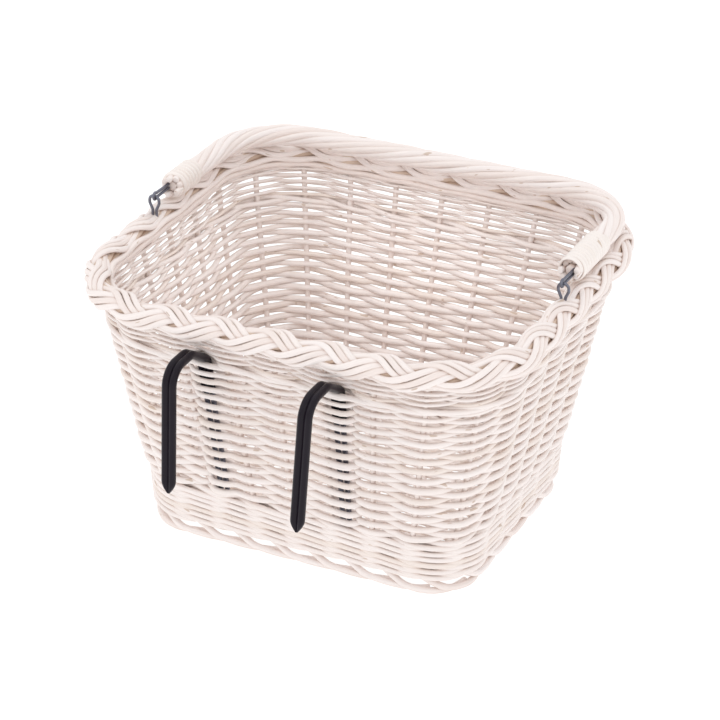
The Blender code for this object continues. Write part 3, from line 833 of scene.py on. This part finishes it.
def build_bindings():
    """A flat cane wound round each end of the rope, in opposite senses."""
    for side, sign in (("left", -1.0), ("right", 1.0)):
        node = "handle_binding_" + side
        low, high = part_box(node)
        flatness = CANE_FLATNESS[side]
        radius = 0.5 * (high.x - low.x) - CANE_RADIUS * flatness
        first = reach_at(low.y) + CANE_RADIUS
        last = reach_at(high.y) - CANE_RADIUS
        turns = (last - first) / BINDING_PITCH
        t = np.linspace(0.0, 1.0, int(turns * CANE_SAMPLES))
        turn = TAU * turns * t * sign
        reach = first + (last - first) * t
        radial = ALONG_X * np.cos(turn)[:, None] + BOW_NORMAL * np.sin(turn)[:, None]
        raised = np.clip(np.minimum(t, 1.0 - t) * turns * 3.0, 0.0, 1.0)
        coil = radius - CANE_TUCK * (1.0 - raised)
        path = PIVOT + ALONG_X * middle(node)[0] + BOW_AHEAD * reach[:, None] + radial * coil[:, None]
        rods = Rods(sides=10)
        rods.add(path, CANE_RADIUS * (1.0 + wander(t, 0.06, 3, 9)), radial, flatness=flatness)
        rods.build(node + "_cane", CANE, "handle", "cane_binding", node)


def build_eyes():
    """A wire eye in each end of the rope, open towards its two legs."""
    rope_end = reach_at(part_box("handle_rope")[0].y)
    for side in ("left", "right"):
        node = "handle_eye_" + side
        x = middle(node)[0]
        turns = np.linspace(EYE_OPENING, TAU - EYE_OPENING, 30)
        ring = [bow_point(x, EYE_RADIUS * math.cos(a), EYE_RADIUS * math.sin(a)) for a in turns]
        path = (
            [bow_point(x, EYE_LEG_END, EYE_LEG_HALF_GAP), bow_point(x, rope_end, EYE_LEG_HALF_GAP)]
            + ring
            + [bow_point(x, rope_end, -EYE_LEG_HALF_GAP), bow_point(x, EYE_LEG_END, -EYE_LEG_HALF_GAP)]
        )
        rods = Rods(sides=14)
        rods.add(resample(np.array(path), 0.0006), EYE_WIRE_RADIUS, ALONG_X)
        rods.build(node + "_wire", STEEL, "handle", "steel_wire", node)


def build_rim_loops():
    """Oval wire loops that narrow to a neck where they stand in the border."""
    for side in ("left", "right"):
        node = "rim_loop_" + side
        low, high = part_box(node)
        x, y, _ = middle(node)
        half = 0.5 * (high.x - low.x) - LOOP_WIRE_RADIUS
        top = high.z - LOOP_WIRE_RADIUS
        waist = top - LOOP_WAIST * half
        shoulder = top - LOOP_SHOULDER * half
        left_side = [(-LOOP_NECK, low.z), (-LOOP_NECK, waist), (-half, shoulder), (-half, top)]
        outline = left_side + [(-u, z) for u, z in reversed(left_side)]
        corners = [(x + u, y, z) for u, z in outline]
        bends = (LOOP_BEND, LOOP_BEND, 0.98 * half, 0.98 * half, LOOP_BEND, LOOP_BEND)
        rods = Rods(sides=14)
        rods.add(resample(rounded_path(corners, bends), 0.0006), LOOP_WIRE_RADIUS, (0.0, 1.0, 0.0))
        rods.build(node + "_wire", STEEL, "basket", "steel_wire", node)


# ---------------------------------------------------------------- hooks
def hook_line(side, inner_z=None):
    """Centre line of a hook from its inner end, or from the given height, to its outer tip."""
    low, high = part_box("hook_sleeve_" + side)
    top_z = high.z - SLEEVE_HALF_THICK
    sleeve = node_points("hook_sleeve_" + side)
    tip_y = sleeve[sleeve[:, 2] < low.z + 0.001].mean(0)[1]
    shoulder = wall_points(0.0, HOOK_SHOULDER_Z)[0]
    crest_y = shoulder[1] - (top_z - HOOK_SHOULDER_Z) / HOOK_RISE
    corners = [
        wall_points(0.0, HOOK_WIRES_BOTTOM if inner_z is None else inner_z)[0],
        shoulder,
        (0.0, crest_y, top_z),
        (0.0, tip_y + HOOK_SPLAY, top_z),
        (0.0, tip_y, low.z),
    ]
    line = resample(rounded_path(corners, HOOK_BENDS, 16), 0.0015)
    line[:, 0] = hook_x(side, line[:, 2])
    return line


def build_hook_wire(side):
    """The two rods of a hairpin, side by side, from inside the weave to near the sheath's point."""
    node = "hook_wire_" + side
    line = hook_line(side)[:-8]
    rods = Rods(sides=14)
    for sign in (-1.0, 1.0):
        rods.add(line + ALONG_X * (sign * HOOK_ROD_HALF_PITCH), HOOK_ROD_RADIUS, ALONG_X)
    rods.build(node + "_rods", STEEL, "basket", "steel_wire", node)


def sleeve_section(count=48):
    """Two round lobes side by side with a seam between them on both wide faces, as (across, through)."""
    turn = TAU * np.arange(count) / count
    u = SLEEVE_HALF_WIDTH * np.sign(np.cos(turn)) * np.abs(np.cos(turn)) ** 0.85
    lobe = np.sqrt(np.clip(1.0 - ((np.abs(u) / SLEEVE_HALF_WIDTH - 0.5) / 0.5) ** 2, 0.0, 1.0))
    deep = np.where(np.abs(u) < 0.5 * SLEEVE_HALF_WIDTH, np.maximum(SLEEVE_SEAM, lobe), lobe)
    return np.stack([u, SLEEVE_HALF_THICK * np.sign(np.sin(turn)) * deep], 1)


def build_hook_sleeve(side):
    """Black sheath drawn over the hook, pinched to a point at the tip and open at the inner end."""
    node = "hook_sleeve_" + side
    line = hook_line(side, SLEEVE_INNER_END_Z)
    ahead = tangents(line, False)
    other = np.cross(ahead, ALONG_X)
    section = sleeve_section()
    length = np.linalg.norm(np.diff(line, axis=0), axis=1)
    left = np.concatenate([np.cumsum(length[::-1])[::-1], [0.0]])
    squeeze = np.clip(left / SLEEVE_TIP, 0.0, 1.0)
    rise = np.sin(0.5 * math.pi * squeeze)
    wide = SLEEVE_TIP_WIDE + (1.0 - SLEEVE_TIP_WIDE) * rise ** 0.9
    thick = SLEEVE_TIP_THICK + (1.0 - SLEEVE_TIP_THICK) * rise
    across = section[None, :, :1]
    through = section[None, :, 1:]
    centre = line[:, None]
    other = other[:, None]
    rings = centre + ALONG_X * (across * wide[:, None, None]) + other * (through * thick[:, None, None])
    mouth = centre[:1] + ALONG_X * (across * SLEEVE_MOUTH_WIDE) + other[:1] * (through * SLEEVE_MOUTH_THICK)
    # The open end folds in and ends in a floor a little way up the sheath.
    mouth = np.repeat(mouth, 2, 0)
    mouth[0] += ahead[0] * SLEEVE_MOUTH_DEPTH
    rings = np.concatenate([mouth, rings])
    size = len(section)
    faces = []
    for first in range(0, (len(rings) - 1) * size, size):
        second = first + size
        for j in range(size):
            k = (j + 1) % size
            faces.append((first + j, second + j, second + k, first + k))
    faces.append(tuple(range(size)))
    faces.append(tuple(reversed(range((len(rings) - 1) * size, len(rings) * size))))
    obj = mesh_object(node + "_sheath", rings.reshape(-1, 3), faces, PLASTIC)
    place(obj, "basket", "hook_plastic", node)


# ---------------------------------------------------------------- stage
def build_stage():
    """Pale floor, soft lights and the camera."""
    floor_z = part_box("foot_border")[0].z
    signs = ((-1.0, -1.0), (1.0, -1.0), (1.0, 1.0), (-1.0, 1.0))
    corners = np.array([(x * FLOOR_HALF, y * FLOOR_HALF, floor_z) for x, y in signs])
    g = Graph("studio_floor")
    floor_material = g.principled(
        Base_Color=(FLOOR_SHADE, FLOOR_SHADE, FLOOR_SHADE, 1.0),
        Roughness=0.9,
        Specular_IOR_Level=0.0,
        Emission_Color=(1.0, 1.0, 1.0, 1.0),
        Emission_Strength=FLOOR_GLOW,
    )
    floor = mesh_object("studio_floor", corners, [(0, 1, 2, 3)], floor_material)

    world = bpy.data.worlds.new("studio")
    world.use_nodes = True
    background = world.node_tree.nodes["Background"]
    background.inputs["Color"].default_value = (1.0, 1.0, 1.0, 1.0)
    # The camera sees pure white, while the room lights the basket a little less than that.
    rays = world.node_tree.nodes.new("ShaderNodeLightPath")
    strength = world.node_tree.nodes.new("ShaderNodeMapRange")
    strength.inputs["To Min"].default_value = ROOM_LIGHT
    world.node_tree.links.new(rays.outputs["Is Camera Ray"], strength.inputs["Value"])
    world.node_tree.links.new(strength.outputs["Result"], background.inputs["Strength"])
    bpy.context.scene.world = world

    for name, location, width, power in LIGHTS:
        light = bpy.data.lights.new(name, "AREA")
        light.shape = "DISK"
        light.size = width
        light.energy = power
        lamp = bpy.data.objects.new(name, light)
        lamp.location = location
        lamp.rotation_euler = (Vector(LIGHT_TARGET) - Vector(location)).to_track_quat("-Z", "Y").to_euler()
        lamp.visible_camera = False
        bpy.context.scene.collection.objects.link(lamp)

    camera = bpy.data.cameras.new("camera")
    camera.lens = CAMERA_LENS
    camera.sensor_width = 36.0
    camera.clip_end = 100.0
    azimuth = math.radians(CAMERA_AZIMUTH)
    elevation = math.radians(CAMERA_ELEVATION)
    back = Vector((
        math.sin(azimuth) * math.cos(elevation),
        -math.cos(azimuth) * math.cos(elevation),
        math.sin(elevation),
    ))
    right = Vector((math.cos(azimuth), math.sin(azimuth), 0.0))
    upward = back.cross(right)
    target = Vector(CAMERA_TARGET) + right * CAMERA_SHIFT[0] + upward * CAMERA_SHIFT[1]
    viewer = bpy.data.objects.new("camera", camera)
    viewer.location = target + back * CAMERA_DISTANCE
    viewer.rotation_euler = (-back).to_track_quat("-Z", "Y").to_euler()
    bpy.context.scene.collection.objects.link(viewer)
    bpy.context.scene.camera = viewer
    bpy.context.scene.view_settings.view_transform = "Standard"


# ---------------------------------------------------------------- build
build_wale("bottom_waling", waling_heights(), WALING_RADIUS)
build_side_weave("side_weave_lower")
build_side_weave("side_weave_upper", WEAVE_TOP)
build_wale("upper_wale", [middle("upper_wale")[2]], WALE_RADIUS)
build_stakes()
build_plait_border()
build_foot_border()
build_base()
build_rope()
build_bindings()
build_eyes()
build_rim_loops()
for hook_side in ("left", "right"):
    build_hook_wire(hook_side)
    build_hook_sleeve(hook_side)
build_stage()
